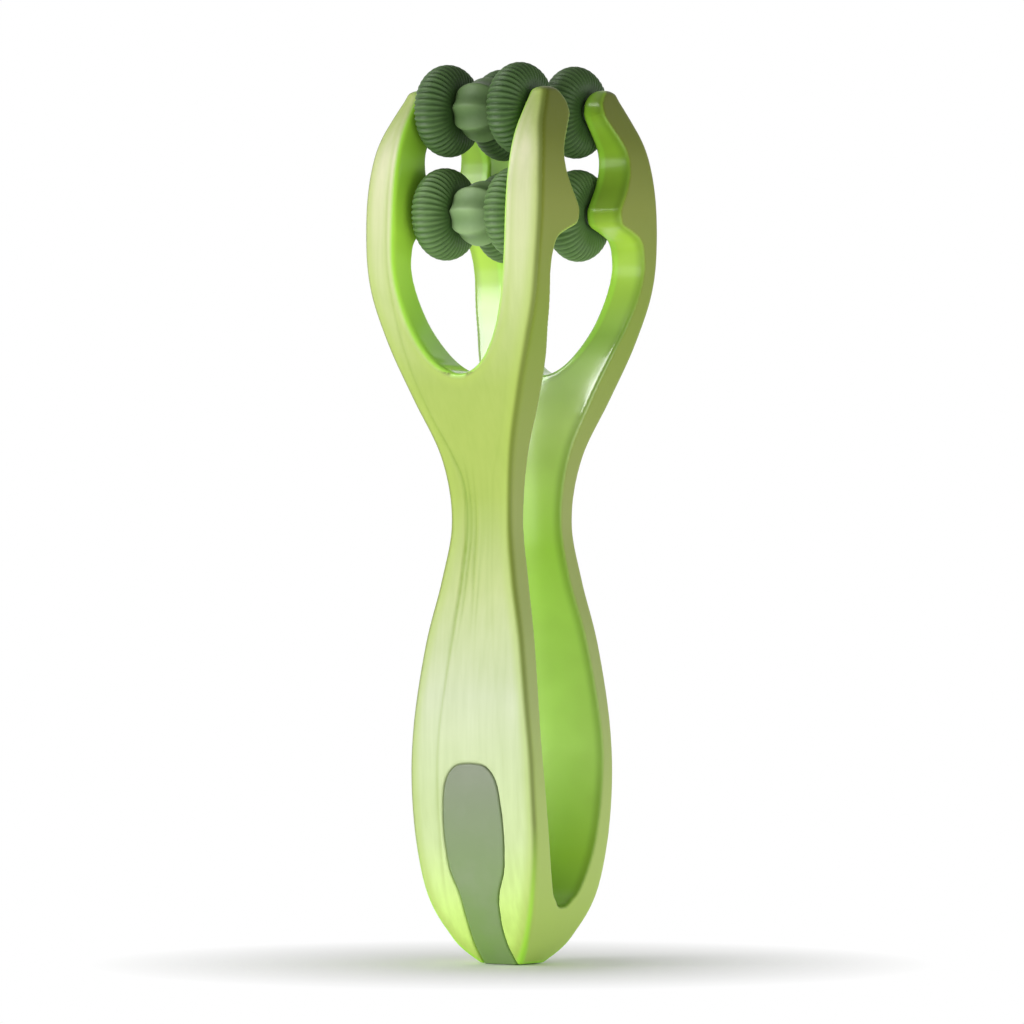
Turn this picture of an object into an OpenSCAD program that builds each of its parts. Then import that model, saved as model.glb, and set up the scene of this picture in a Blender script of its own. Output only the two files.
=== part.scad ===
// Squeeze massage roller shaped like a stalk of celery: a sprung tong whose two forked
// arms carry twelve free-turning rollers on four cross axles.
// Frame: origin at the bottom centre of the foot, +Z up, X along the axles, and the
// front arm on the -Y side. The rear arm is the front arm mirrored.

/* [Tong heights] */
// Height at which the arms meet the base and bend
split_z = 39; // [39:0.5:42]
// Height of the narrow waist
waist_z = 84; // [80:0.5:88]
// Height of the widest part of the forked head
head_z = 142; // [138:0.5:144]
// Height of the prong tips
tip_z = 166.2; // [165.5:0.1:168]
// Height of the bottom of the slot between the arms
slot_z = 11.2; // [8:0.1:12]

/* [Tong widths, along X] */
// Width of the flat under the foot
foot_w = 9; // [8:0.5:12]
// Width of the handle
handle_w = 28.8; // [27:0.2:32]
// Width of the waist
waist_w = 14.2; // [12:0.2:18]
// Width of the head
head_w = 40.8; // [40:0.2:44]

/* [Tong depths, along Y] */
// Depth of the flat under the foot
foot_d = 7.5; // [7:0.5:9]
// Depth of the handle over both arms
handle_d = 28.4; // [28:0.2:30]
// Depth of the waist over both arms
waist_d = 21.4; // [21:0.2:24]
// Depth of the head over both arms
head_d = 41.6; // [41:0.2:42]
// Clear width of the slot in the handle
handle_gap = 19.8; // [18:0.2:20]
// Clear width of the slot at the waist
waist_gap = 12; // [10:0.2:12.4]
// Clear width of the throat under the rollers
throat_gap = 30.4; // [29:0.2:31]

/* [Fork] */
// Clear width between the two prongs of an arm
fork_w = 25; // [25:0.1:25.6]
// Height at which the round bottom of the fork becomes straight
fork_z = 137; // [134:0.5:138]
// Height of the round bottom of the fork
fork_round = 25; // [20:0.5:28]

/* [Axles] */
// Diameter of an axle
axle_d = 2.5; // [2:0.1:2.6]
// Depth of the blind hole that holds each axle end
axle_seat = 2.6; // [2:0.1:2.8]
// Height of the upper axles
upper_z = 161.8; // [161.4:0.1:162]
// Distance of the upper axles from the middle plane
upper_y = 9.05; // [9.05:0.05:9.3]
// Height of the lower axles
lower_z = 142.2; // [141.5:0.1:142.4]
// Distance of the lower axles from the middle plane
lower_y = 9.97; // [9.9:0.01:10.1]

/* [Rollers] */
// Outer diameter of a ribbed ring
ring_d = 17.6; // [16.8:0.1:17.6]
// Width of a ribbed ring along its axle
ring_w = 7; // [6:0.1:7]
// Distance of a ring's middle from the middle of the axle
ring_x = 8.35; // [8.3:0.05:8.4]
// Diameter of the middle ball
ball_d = 12.6; // [11:0.1:12.8]
// Width of the middle ball between its flats
ball_w = 9.2; // [8:0.1:9.3]
// Outer diameter of a hub bush
hub_d = 4.6; // [4.2:0.1:4.8]
// Radial clearance between a hub and its axle
hub_clearance = 0.05; // [0.03:0.01:0.08]
// Length of a ring's hub
ring_hub_w = 7.2; // [7:0.05:7.2]
// Length of the ball's hub
ball_hub_w = 9.3; // [9.2:0.05:9.4]

/* [Grip strip] */
// Thickness of the soft strip
strip_t = 1.2; // [0.8:0.1:1.6]
// Height of the strip's round top
strip_top = 38.4; // [34:0.2:38.6]
// Widest width of the strip
strip_w = 13.6; // [10:0.2:15]
// Width of the strip under the foot
strip_foot_w = 7.6; // [6:0.2:8]

/* [Hidden] */
$fn = 96;
arms = ["front", "rear"];
levels = ["upper", "lower"];
sides = ["left", "right"];
// Saw cut between the base and each arm
kerf = 0.05;
// Steps of a curve between two of its control points
curve_steps = 3;
// Wider than anything that it cuts
beyond = 100;

// --- curves ---

// Points at the given fractions of the way from corner a to corner b
function between(a, b, parts) = [for (p = parts) [a.x + (b.x - a.x) * p.x, a.y + (b.y - a.y) * p.y]];

function flipped(points) = [for (p = points) [-p.x, p.y]];

function reversed(points) = [for (i = [len(points) - 1:-1:0]) points[i]];

// One point of the smooth curve through four neighbouring control points
function curve_point(a, b, c, d, t) =
    0.5 * (2 * b + (c - a) * t + (2 * a - 5 * b + 4 * c - d) * t * t + (3 * b - a - 3 * c + d) * t * t * t);

// A smooth curve through all the control points
function curve(points) = [
    for (i = [0:len(points) - 2]) let (last = len(points) - 1)
        for (k = [0:curve_steps - 1])
            curve_point(
                points[max(i - 1, 0)], points[i], points[i + 1], points[min(i + 2, last)],
                k / curve_steps
            ),
    points[len(points) - 1]
];

// An open line moved sideways: to the left of its direction when by is positive
function shifted(points, by) = [
    for (i = [0:len(points) - 1])
        let (
            along = points[min(i + 1, len(points) - 1)] - points[max(i - 1, 0)],
            size = norm(along)
        )
        points[i] + by * [-along.y, along.x] / size
];

// --- outlines, each point as [distance from the middle, height] ---

handle_z = 33;
shoulder_z = 163.6;
tip_w = 33.2;

foot_edge = [foot_w / 2, 0];
handle_edge = [handle_w / 2, handle_z];
waist_edge = [waist_w / 2, waist_z];
head_edge = [head_w / 2, head_z];
shoulder_edge = [tip_w / 2, shoulder_z];

// Right edge of the tong seen from the front, from the foot to the shoulder of the prong
front_edge = curve(concat(
    [foot_edge],
    between(foot_edge, handle_edge, [[0.41, 0.136], [0.77, 0.364], [0.96, 0.667], [1, 1]]),
    between(handle_edge, waist_edge, [[0.08, 0.216], [0.41, 0.55], [0.78, 0.784], [1, 1]]),
    between(waist_edge, head_edge, [[0.1, 0.207], [0.4, 0.397], [0.71, 0.586], [0.93, 0.767], [1, 1]]),
    between(head_edge, shoulder_edge, [[0.22, 0.51], [0.72, 0.833], [1, 1]])
));
prong_top = [[tip_w / 2 - 0.7, tip_z - 0.6], [14.4, tip_z], [fork_w / 2, tip_z - 0.5]];
fork_edge = [for (a = [0:7.5:90]) [fork_w / 2 * cos(a), fork_z - fork_round * sin(a)]];
half_front = concat(front_edge, prong_top, fork_edge);
front_outline = concat(half_front, reversed(flipped(half_front)));

foot_side = [foot_d / 2, 0];
handle_side = [handle_d / 2, 42];
waist_side = [waist_d / 2, waist_z];
head_side = [head_d / 2, 138];
shoulder_side = [12.8, 164];

// Outer face of an arm seen from the side, from the foot to the shoulder of the prong
outer_side = curve(concat(
    [foot_side],
    between(foot_side, handle_side, [[0.36, 0.107], [0.665, 0.286], [0.837, 0.524], [0.96, 0.762], [1, 1]]),
    between(handle_side, waist_side, [[0.03, 0.19], [0.29, 0.452], [0.71, 0.738], [1, 1]]),
    between(waist_side, head_side, [[0.125, 0.222], [0.448, 0.426], [0.77, 0.63], [0.98, 0.833], [1, 1]]),
    between(head_side, shoulder_side, [[0.12, 0.42], [0.42, 0.73], [1, 1]]),
    [[11.9, 165.4], [10.3, tip_z]]
));

slot_end = [0, slot_z];
handle_inside = [handle_gap / 2, 44];
waist_inside = [waist_gap / 2, waist_z];
throat_inside = [throat_gap / 2, 130];

// Points on the side of an axle's round boss that faces the middle plane
function boss_side(y, z, radius, angles) = [
    for (a = angles) [y - radius * cos(a), z + radius * sin(a)]
];

// Inner face of an arm seen from the side, from the slot's end to the prong's tip
inner_side = curve(concat(
    [slot_end],
    between(
        slot_end, handle_inside,
        [[0.13, 0.006], [0.26, 0.04], [0.455, 0.11], [0.717, 0.33], [0.92, 0.66], [1, 1]]
    ),
    between(handle_inside, waist_inside, [[0.385, 0.425], [0.846, 0.725], [1, 1]]),
    between(waist_inside, throat_inside, [[0.054, 0.26], [0.26, 0.5], [0.5, 0.674], [0.783, 0.826], [1, 1]]),
    [[14.9, 134.6], [13.6, 137.2], [10.5, 138.7]],
    boss_side(lower_y, lower_z, 3.35, [-45, -15, 15, 40]),
    [[9.5, 147.9], [10.5, 151.4], [9.8, 154.8]],
    boss_side(upper_y, upper_z, 3.55, [-30, 0, 35]),
    [[8.9, tip_z]]
));

// --- the tong ---

// A flat shape in (distance, height) stretched through the whole width or depth
module along_y() { rotate([90, 0, 0]) linear_extrude(2 * beyond, center = true) children(); }
module along_x() { rotate([90, 0, 90]) linear_extrude(2 * beyond, center = true) children(); }

module height_band(low, high) {
    translate([-beyond, -beyond, low]) cube([2 * beyond, 2 * beyond, high - low]);
}

// Side view of the front arm and its half of the base
module half_side_view() {
    polygon(concat([[0, 0]], flipped(outer_side), reversed(flipped(inner_side))));
}

module front_half() {
    intersection() {
        along_y() polygon(front_outline);
        along_x() half_side_view();
    }
}

function axle_place(arm, level) = [
    0,
    (arm == "front" ? -1 : 1) * (level == "upper" ? upper_y : lower_y),
    level == "upper" ? upper_z : lower_z
];

axle_length = fork_w + 2 * axle_seat;

module rod(diameter, length) {
    rotate([0, 90, 0]) cylinder(d = diameter, h = length, center = true);
}

module front_arm_solid() {
    difference() {
        intersection() {
            front_half();
            height_band(split_z + kerf, tip_z + beyond);
        }
        for (level = levels) translate(axle_place("front", level)) rod(axle_d, axle_length);
    }
}

module tong_arm(arm) {
    color("yellowgreen")
        if (arm == "front") front_arm_solid();
        else mirror([0, 1, 0]) front_arm_solid();
}

// --- the base and its strip ---

base_side = [for (p = outer_side) if (p.y < split_z + 8) p];

module base_block() {
    intersection() {
        along_y() polygon(front_outline);
        along_x() difference() {
            polygon(concat(base_side, reversed(flipped(base_side))));
            polygon(concat(inner_side, reversed(flipped(inner_side))));
        }
        height_band(0, split_z);
    }
}

strip_shoulder = [strip_w / 2, 0.68 * strip_top];
half_strip = concat(
    [[strip_foot_w / 2, -1], [strip_foot_w / 2, 0.2 * strip_top]],
    curve(concat(
        [[strip_foot_w / 2 + 0.4, 0.32 * strip_top], [strip_foot_w / 2 + 1, 0.38 * strip_top]],
        between([0, 0], strip_shoulder, [[0.9, 0.69], [0.98, 0.85], [1, 1.04]]),
        between(strip_shoulder, [0, strip_top], [[0.08, 0.56], [0.24, 0.82], [0.55, 0.97], [1, 1]])
    ))
);

// The soft strip's space: a skin of the base inside the strip's outline
module strip_space() {
    path = concat(reversed(flipped(base_side)), base_side);
    intersection() {
        along_x() polygon(concat(shifted(path, strip_t), reversed(shifted(path, -1))));
        along_y() polygon(concat(half_strip, reversed(flipped(half_strip))));
    }
}

module tong_base() {
    color("darkseagreen") difference() {
        base_block();
        strip_space();
    }
}

module grip_strip() {
    color("olivedrab") intersection() {
        base_block();
        strip_space();
    }
}

// --- axles and rollers ---

module axle(arm, level) {
    color("silver") translate(axle_place(arm, level)) rod(axle_d, axle_length);
}

// A hub bush around the axle, its middle at x
module hub(arm, level, x, length) {
    color("darkolivegreen") translate(axle_place(arm, level) + [x, 0, 0]) difference() {
        rod(hub_d, length);
        rod(axle_d + 2 * hub_clearance, length + 1);
    }
}

// A soft ring: a torus whose inside is bored to its hub
module ring(arm, level, x) {
    color("darkgreen") translate(axle_place(arm, level) + [x, 0, 0]) rotate([0, 90, 0]) rotate_extrude()
        intersection() {
            translate([(ring_d - ring_w) / 2, 0]) circle(d = ring_w);
            translate([hub_d / 2, -ring_w]) square([ring_d, 2 * ring_w]);
        }
}

// The soft middle ball with flat ends, bored to its hub
module ball(arm, level) {
    color("seagreen") translate(axle_place(arm, level)) rotate([0, 90, 0]) rotate_extrude()
        intersection() {
            circle(d = ball_d);
            translate([hub_d / 2, -ball_w / 2]) square([ball_d, ball_w]);
        }
}

function side_x(side) = (side == "left" ? -1 : 1) * ring_x;

tong_base();
grip_strip();
for (a = arms) tong_arm(a);
for (a = arms) for (l = levels) {
    stem = str(a, "_", l);
    axle(a, l);
    ball(a, l);
    hub(a, l, 0, ball_hub_w);
    for (s = sides) {
        ring(a, l, side_x(s));
        hub(a, l, side_x(s), ring_hub_w);
    }
}
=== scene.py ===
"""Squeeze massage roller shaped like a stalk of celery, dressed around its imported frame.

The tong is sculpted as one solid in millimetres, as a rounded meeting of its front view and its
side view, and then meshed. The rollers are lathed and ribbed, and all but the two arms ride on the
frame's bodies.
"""

import logging
import math
from dataclasses import dataclass, field
from enum import Enum

import bpy
import numpy as np
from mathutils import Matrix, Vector


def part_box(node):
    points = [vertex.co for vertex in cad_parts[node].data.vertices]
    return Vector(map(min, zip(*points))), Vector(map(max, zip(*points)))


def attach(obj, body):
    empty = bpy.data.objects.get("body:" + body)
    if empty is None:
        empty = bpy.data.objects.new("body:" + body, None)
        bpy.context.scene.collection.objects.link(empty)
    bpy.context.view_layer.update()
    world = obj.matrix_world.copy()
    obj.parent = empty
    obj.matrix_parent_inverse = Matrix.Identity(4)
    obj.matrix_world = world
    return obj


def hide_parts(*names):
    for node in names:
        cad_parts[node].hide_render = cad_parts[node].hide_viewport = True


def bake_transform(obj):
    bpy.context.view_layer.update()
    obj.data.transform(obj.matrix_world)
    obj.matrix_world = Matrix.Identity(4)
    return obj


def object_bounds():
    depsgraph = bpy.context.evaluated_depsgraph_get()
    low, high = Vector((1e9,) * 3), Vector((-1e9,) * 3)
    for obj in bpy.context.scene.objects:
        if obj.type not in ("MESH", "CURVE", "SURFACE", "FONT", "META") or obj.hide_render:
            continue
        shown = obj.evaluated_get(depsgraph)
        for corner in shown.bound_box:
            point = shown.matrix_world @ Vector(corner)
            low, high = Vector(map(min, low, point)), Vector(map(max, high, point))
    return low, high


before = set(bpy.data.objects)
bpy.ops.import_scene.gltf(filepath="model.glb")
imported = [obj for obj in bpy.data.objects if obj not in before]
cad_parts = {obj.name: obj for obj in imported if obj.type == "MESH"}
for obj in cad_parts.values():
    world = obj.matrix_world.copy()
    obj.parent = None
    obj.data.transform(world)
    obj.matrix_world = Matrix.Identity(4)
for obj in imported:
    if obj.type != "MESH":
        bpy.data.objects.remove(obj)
cad_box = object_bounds()

log = logging.getLogger("roller")
MM = 0.001
Points = tuple[tuple[float, float], ...]


# ---------------------------------------------------------------- names of the parts


class Arm(Enum):
    """The two arms of the tong, by the side of the middle plane that they stand on."""

    FRONT = "front"
    REAR = "rear"

    @property
    def sign(self) -> int:
        """The sign of Y on this arm."""
        return -1 if self is Arm.FRONT else 1


class Level(Enum):
    """The two axles of an arm."""

    UPPER = "upper"
    LOWER = "lower"


class Side(Enum):
    """The two rings on an axle."""

    LEFT = "left"
    RIGHT = "right"

    @property
    def sign(self) -> int:
        """The sign of X on this side."""
        return -1 if self is Side.LEFT else 1


# ---------------------------------------------------------------- shader maths


def linear(red: int, green: int, blue: int) -> tuple[float, float, float, float]:
    """A colour in 0 to 255 screen values as a linear RGBA colour.

    Args:
        red: Red share, 0 to 255.
        green: Green share, 0 to 255.
        blue: Blue share, 0 to 255.

    Returns:
        The colour that a shader socket takes.
    """
    shares = [value / 255 for value in (red, green, blue)]
    bent = [s / 12.92 if s <= 0.04045 else ((s + 0.055) / 1.055) ** 2.4 for s in shares]
    return (bent[0], bent[1], bent[2], 1.0)


class Wire:
    """One value socket, with arithmetic that adds Math nodes to its graph."""

    def __init__(self, graph: "Graph", socket: bpy.types.NodeSocket) -> None:
        """Wraps a socket.

        Args:
            graph: The graph that new nodes are added to.
            socket: The output socket that holds the value.
        """
        self.graph = graph
        self.socket = socket

    def _math(self, operation: str, *values: "Wire | float") -> "Wire":
        """A Math node on these values."""
        return self.graph.math(operation, *values)

    def __add__(self, other: "Wire | float") -> "Wire":
        """self + other."""
        return self._math("ADD", self, other)

    def __radd__(self, other: float) -> "Wire":
        """other + self."""
        return self._math("ADD", other, self)

    def __sub__(self, other: "Wire | float") -> "Wire":
        """self - other."""
        return self._math("SUBTRACT", self, other)

    def __rsub__(self, other: float) -> "Wire":
        """other - self."""
        return self._math("SUBTRACT", other, self)

    def __mul__(self, other: "Wire | float") -> "Wire":
        """self * other."""
        return self._math("MULTIPLY", self, other)

    def __rmul__(self, other: float) -> "Wire":
        """other * self."""
        return self._math("MULTIPLY", other, self)

    def __truediv__(self, other: "Wire | float") -> "Wire":
        """self / other."""
        return self._math("DIVIDE", self, other)

    def __rtruediv__(self, other: float) -> "Wire":
        """other / self."""
        return self._math("DIVIDE", other, self)

    def clamped(self) -> "Wire":
        """The value kept between 0 and 1."""
        return self._math("MINIMUM", self._math("MAXIMUM", self, 0.0), 1.0)

    def above(self, start: float, slope: float) -> "Wire":
        """0 up to a start, and from there rising by the slope to 1."""
        return ((self - start) * slope).clamped()

    def sway(self, amount: float) -> "Wire":
        """A noise around 0.5 as a swing to either side of 0."""
        return (self - 0.5) * amount


class Graph:
    """A node tree whose nodes are all added through a single node method."""

    def __init__(self, tree: bpy.types.NodeTree) -> None:
        """Empties a tree to build it up anew.

        Args:
            tree: The node tree.
        """
        self.tree = tree
        self.tree.nodes.clear()

    def node(
        self, kind: str, settings: dict | None = None, inputs: dict | None = None
    ) -> bpy.types.Node:
        """Adds any node: its settings first, then the values or links of its sockets.

        Args:
            kind: The node's type.
            settings: Attributes of the node, or "stops" for a colour ramp.
            inputs: Socket name or number to a Wire, a socket or a plain value.

        Returns:
            The new node.
        """
        made = self.tree.nodes.new(kind)
        for key, value in (settings or {}).items():
            if key == "stops":
                self._set_stops(made.color_ramp, value)
            else:
                setattr(made, key, value)
        for key, value in (inputs or {}).items():
            self.feed(made.inputs[key], value)
        return made

    @staticmethod
    def _set_stops(ramp: bpy.types.ColorRamp, stops: list[tuple[float, tuple]]) -> None:
        """Gives a colour ramp its stops.

        Args:
            ramp: The colour ramp.
            stops: (place, colour) pairs, in order.
        """
        while len(ramp.elements) < len(stops):
            ramp.elements.new(1.0)
        for element, (place, colour) in zip(ramp.elements, stops):
            element.position = place
            element.color = colour

    def feed(self, socket: bpy.types.NodeSocket, value: object) -> None:
        """Links or sets one input socket.

        Args:
            socket: The input socket.
            value: A Wire, an output socket, or a plain value.
        """
        if isinstance(value, Wire):
            value = value.socket
        if isinstance(value, bpy.types.NodeSocket):
            self.tree.links.new(value, socket)
        else:
            socket.default_value = value

    def math(self, operation: str, *values: "Wire | float") -> Wire:
        """A Math node on up to three values."""
        made = self.node("ShaderNodeMath", {"operation": operation}, dict(enumerate(values)))
        return Wire(self, made.outputs[0])

    def mix(self, share: "Wire | float", first: object, second: object) -> bpy.types.NodeSocket:
        """A colour between two colours.

        Args:
            share: 0 for the first colour and 1 for the second.
            first: A colour or a colour socket.
            second: A colour or a colour socket.

        Returns:
            The mixed colour's socket.
        """
        made = self.node("ShaderNodeMix", {"data_type": "RGBA"})
        self.feed(made.inputs[0], share)
        self.feed(made.inputs[6], first)
        self.feed(made.inputs[7], second)
        return made.outputs[2]

    def attribute(self, name: str) -> Wire:
        """A value painted on the mesh's points."""
        made = self.node("ShaderNodeAttribute", {"attribute_name": name})
        return Wire(self, made.outputs["Fac"])

    def place(self) -> bpy.types.NodeSocket:
        """Where a point is on the piece, in metres."""
        return self.node("ShaderNodeTexCoord").outputs["Object"]

    def height(self) -> Wire:
        """How high a point is on the piece, in metres."""
        apart = self.node("ShaderNodeSeparateXYZ", None, {0: self.place()})
        return Wire(self, apart.outputs["Z"])

    def stretched(self, scale: tuple[float, float, float]) -> bpy.types.NodeSocket:
        """Where a point is on the piece, with each axis scaled."""
        return self.node("ShaderNodeMapping", None, {"Vector": self.place(), "Scale": scale}).outputs[0]

    def ramp(self, share: Wire, stops: tuple) -> bpy.types.NodeSocket:
        """The colour that a ramp with these stops has at a share of its length."""
        return self.node("ShaderNodeValToRGB", {"stops": list(stops)}, {0: share}).outputs[0]

    def noise(
        self, scale: float, detail: float = 2.0, where: bpy.types.NodeSocket | None = None
    ) -> Wire:
        """A noise value around 0.5.

        Args:
            scale: How many features there are in a metre.
            detail: How many finer layers it has.
            where: The coordinates, or None for the piece's own.

        Returns:
            The noise's value.
        """
        inputs = {"Vector": where or self.place(), "Scale": scale, "Detail": detail}
        return Wire(self, self.node("ShaderNodeTexNoise", None, inputs).outputs[0])


class Paint(Graph):
    """A node material with one Principled shader."""

    def __init__(self, name: str) -> None:
        """Starts an empty material.

        Args:
            name: The material's name.
        """
        self.material = bpy.data.materials.new(name)
        self.material.use_nodes = True
        super().__init__(self.material.node_tree)
        self.shader = self.node("ShaderNodeBsdfPrincipled")
        surface = self.shader.outputs["BSDF"]
        self.output = self.node("ShaderNodeOutputMaterial", None, {"Surface": surface})

    def bump(self, height: Wire, distance: float, strength: float = 1.0) -> None:
        """Feeds the shader's Normal with a bump.

        Args:
            height: The height's value, 0 to 1.
            distance: How deep 1 is, in metres.
            strength: How much of it is used.
        """
        inputs = {"Height": height, "Distance": distance, "Strength": strength}
        self.feed(self.shader.inputs["Normal"], self.node("ShaderNodeBump", None, inputs).outputs[0])

    def set(self, **inputs: object) -> None:
        """Sets or links the shader's sockets, with underscores for the spaces in their names."""
        for key, value in inputs.items():
            self.feed(self.shader.inputs[key.replace("_", " ")], value)


# ---------------------------------------------------------------- finishes


@dataclass(frozen=True)
class StalkPlastic:
    """The tong's plastic: pale satin outside like a celery stalk, wet saturated green inside.

    The mesh carries how much each point belongs to the outer and the inner face, and how deep it
    lies in a rib's groove, and where the plastic takes painted shade and a painted glow.
    """

    # Colours by the share of the height, from the foot through handle, waist and fork to the tip
    outer: tuple = (
        (0.00, linear(220, 254, 124)), (0.06, linear(216, 248, 140)), (0.14, linear(206, 224, 164)),
        (0.30, linear(200, 210, 174)), (0.42, linear(184, 198, 128)), (0.52, linear(167, 187, 86)),
        (0.64, linear(166, 186, 92)), (0.76, linear(196, 208, 144)), (0.90, linear(216, 216, 176)),
        (1.00, linear(164, 192, 74)),
    )
    # Partly painted light: the lighter and darker bands stand for light through the plastic and shade
    inner: tuple = (
        (0.04, linear(138, 180, 68)), (0.12, linear(172, 212, 76)), (0.24, linear(206, 242, 130)),
        (0.46, linear(182, 224, 88)), (0.60, linear(206, 232, 136)), (0.70, linear(146, 186, 72)),
        (0.81, linear(192, 232, 78)), (0.88, linear(146, 188, 53)), (1.00, linear(182, 232, 69)),
    )
    # Painted shade in part: the sides darken to olive towards the tip, where they fall in shade
    side: tuple = (
        (0.05, linear(182, 210, 104)), (0.30, linear(158, 174, 100)), (0.52, linear(147, 161, 80)),
        (0.70, linear(128, 150, 44)), (0.84, linear(126, 138, 38)), (0.97, linear(96, 106, 26)),
    )
    # How glossy the inner face is at each share of the height
    gloss: tuple = (
        (0.56, (0.1, 0.1, 0.1, 1)), (0.60, (1, 1, 1, 1)),
        (0.71, (1, 1, 1, 1)), (0.76, (0.12, 0.12, 0.12, 1)),
    )
    # Painted shade in the rib grooves; also the colour of the fibre streaks and the inner face's tint
    groove: tuple = linear(134, 162, 56)
    # Painted shade along the rounded rims between the outer face and the sides
    edge: tuple = linear(96, 110, 22)
    # The rims' colour near the foot, a bright lime in place of the painted shade above it
    foot_edge: tuple = linear(176, 240, 70)
    # Painted shade on the inner face's rounded side edges
    inner_rim_painted_shade: tuple = linear(98, 132, 40)
    # Painted shade in a band along the outer face next to its rims
    shoulder: tuple = linear(168, 192, 84)
    # It also lightens the walls where the rollers' shade falls on them
    # Painted glow on the fork's walls and rims, standing in for light through the plastic
    glow: tuple = linear(172, 236, 70)
    # How much of its colour each zone takes, each a painted shade or, in the fork, a painted glow
    groove_shade_share: float = 0.9
    shoulder_shade_share: float = 0.5
    fork_wall_glow_share: float = 0.5
    inner_rim_shade_share: float = 0.5
    rim_shade_share: float = 0.9
    fork_rim_glow_share: float = 0.7
    # How much groove colour lies over the whole skin
    streak_share: float = 0.12
    # The share of the height where the foot's edge colour starts to end, and how fast it does
    foot_edge_end: tuple[float, float] = (0.06, 10.0)
    # How many of each there are in a metre
    fibres: float = 900.0
    clouds: float = 60.0
    grains: float = 5200.0
    fibre_stretch: float = 0.05
    bump_depth: float = 0.00006
    roughness: float = 0.42

    def build(self) -> bpy.types.Material:
        """Makes the material.

        Returns:
            The finished material.
        """
        g = Paint("stalk plastic")
        height = g.height() / (cad_box[1][2] - cad_box[0][2])
        outer, inner, side = (g.ramp(height, stops) for stops in (self.outer, self.inner, self.side))
        wetness = g.attribute("inner_face")
        fibre = g.noise(self.fibres, 3.0, g.stretched((1.0, 1.0, self.fibre_stretch)))
        cloud = g.noise(self.clouds)
        streaks = (fibre.sway(0.35) + cloud.sway(0.5) + self.streak_share).clamped()
        # Painted shade in the rib grooves, then fibre streaks of the same colour
        skin = g.mix((g.attribute("groove") * self.groove_shade_share).clamped(), outer, self.groove)
        skin = g.mix(streaks, skin, self.groove)
        # Painted shade along the shoulders
        skin = g.mix(g.attribute("shoulder") * self.shoulder_shade_share, skin, self.shoulder)
        wet = g.mix(cloud.above(0.42, 0.9), inner, self.groove)
        colour = g.mix(g.attribute("outer_face"), side, skin)
        colour = g.mix(wetness, colour, wet)
        # Painted shade on the rims, lime at the foot, and on the inner rims; painted glow in the fork
        edge = g.mix(height.above(*self.foot_edge_end), self.foot_edge, self.edge)
        for zone, share, shade in (
            ("fork_wall", self.fork_wall_glow_share, self.glow),
            ("inner_rim_shade", self.inner_rim_shade_share, self.inner_rim_painted_shade),
            ("rim", self.rim_shade_share, edge),
            ("fork_rim_glow", self.fork_rim_glow_share, self.glow),
        ):
            colour = g.mix(g.attribute(zone) * share, colour, shade)
        height_map = fibre * 0.6 + g.noise(self.grains) * 0.4
        g.bump(height_map * (1.0 - wetness * 0.9), self.bump_depth, 0.5)
        gloss = Wire(g, g.ramp(height, self.gloss))
        g.set(
            Base_Color=colour, Roughness=self.roughness - wetness * 0.05 + cloud.sway(0.08),
            Coat_Weight=wetness * gloss, Coat_Roughness=0.1, IOR=1.47, Specular_IOR_Level=0.3,
        )
        return g.material


@dataclass(frozen=True)
class SoftStrip:
    """The strip's grey-green soft plastic, greener towards the foot, with a fine matt grain."""

    top: tuple = linear(128, 137, 114)
    bottom: tuple = linear(126, 162, 82)
    dusty: tuple = linear(150, 158, 138)
    clouds: float = 120.0
    grains: float = 6500.0
    grain_depth: float = 0.00005
    roughness: float = 0.56

    def build(self) -> bpy.types.Material:
        """Makes the material.

        Returns:
            The finished material.
        """
        g = Paint("soft grip strip")
        height = (g.height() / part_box("grip_strip")[1][2]).clamped()
        cloud = g.noise(self.clouds, 3.0)
        colour = g.mix(height, self.bottom, self.top)
        colour = g.mix(cloud.above(0.45, 0.9), colour, self.dusty)
        g.bump(g.noise(self.grains), self.grain_depth, 0.6)
        g.set(Base_Color=colour, Roughness=self.roughness + cloud.sway(0.12), IOR=1.46)
        return g.material


@dataclass(frozen=True)
class Silicone:
    """Dark green silicone rubber of the rings or the balls.

    Its raised ribs take a painted highlight, and the hollows between them painted shade.
    """

    name: str
    deep: tuple
    raised: tuple
    roughness: float = 0.46
    raised_share: float = 0.25
    clouds: float = 260.0
    grains: float = 9000.0
    grain_depth: float = 0.00003

    def build(self) -> bpy.types.Material:
        """Makes the material.

        Returns:
            The finished material.
        """
        g = Paint(self.name)
        cloud = g.noise(self.clouds, 3.0)
        # Painted highlight on the ribs and painted shade in their hollows, over a cloudy tone
        share = g.attribute("ridge_shading") * 0.5 + cloud.sway(0.4) + self.raised_share
        g.bump(g.noise(self.grains), self.grain_depth, 0.5)
        g.set(
            Base_Color=g.mix(share.clamped(), self.deep, self.raised),
            Roughness=self.roughness + cloud.sway(0.14), IOR=1.43, Specular_IOR_Level=0.3,
        )
        return g.material


@dataclass(frozen=True)
class HubPlastic:
    """The dark hard plastic of the hub bushes, a little worn in patches."""

    base: tuple = linear(44, 68, 32)
    worn: tuple = linear(72, 98, 54)
    clouds: float = 700.0
    grains: float = 4000.0
    grain_depth: float = 0.00002
    roughness: float = 0.34

    def build(self) -> bpy.types.Material:
        """Makes the material.

        Returns:
            The finished material.
        """
        g = Paint("hub plastic")
        cloud = g.noise(self.clouds, 3.0)
        colour = g.mix(cloud.above(0.4, 1.2), self.base, self.worn)
        g.bump(g.noise(self.grains), self.grain_depth, 0.6)
        g.set(Base_Color=colour, Roughness=self.roughness + cloud.sway(0.2), IOR=1.48)
        return g.material


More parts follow.
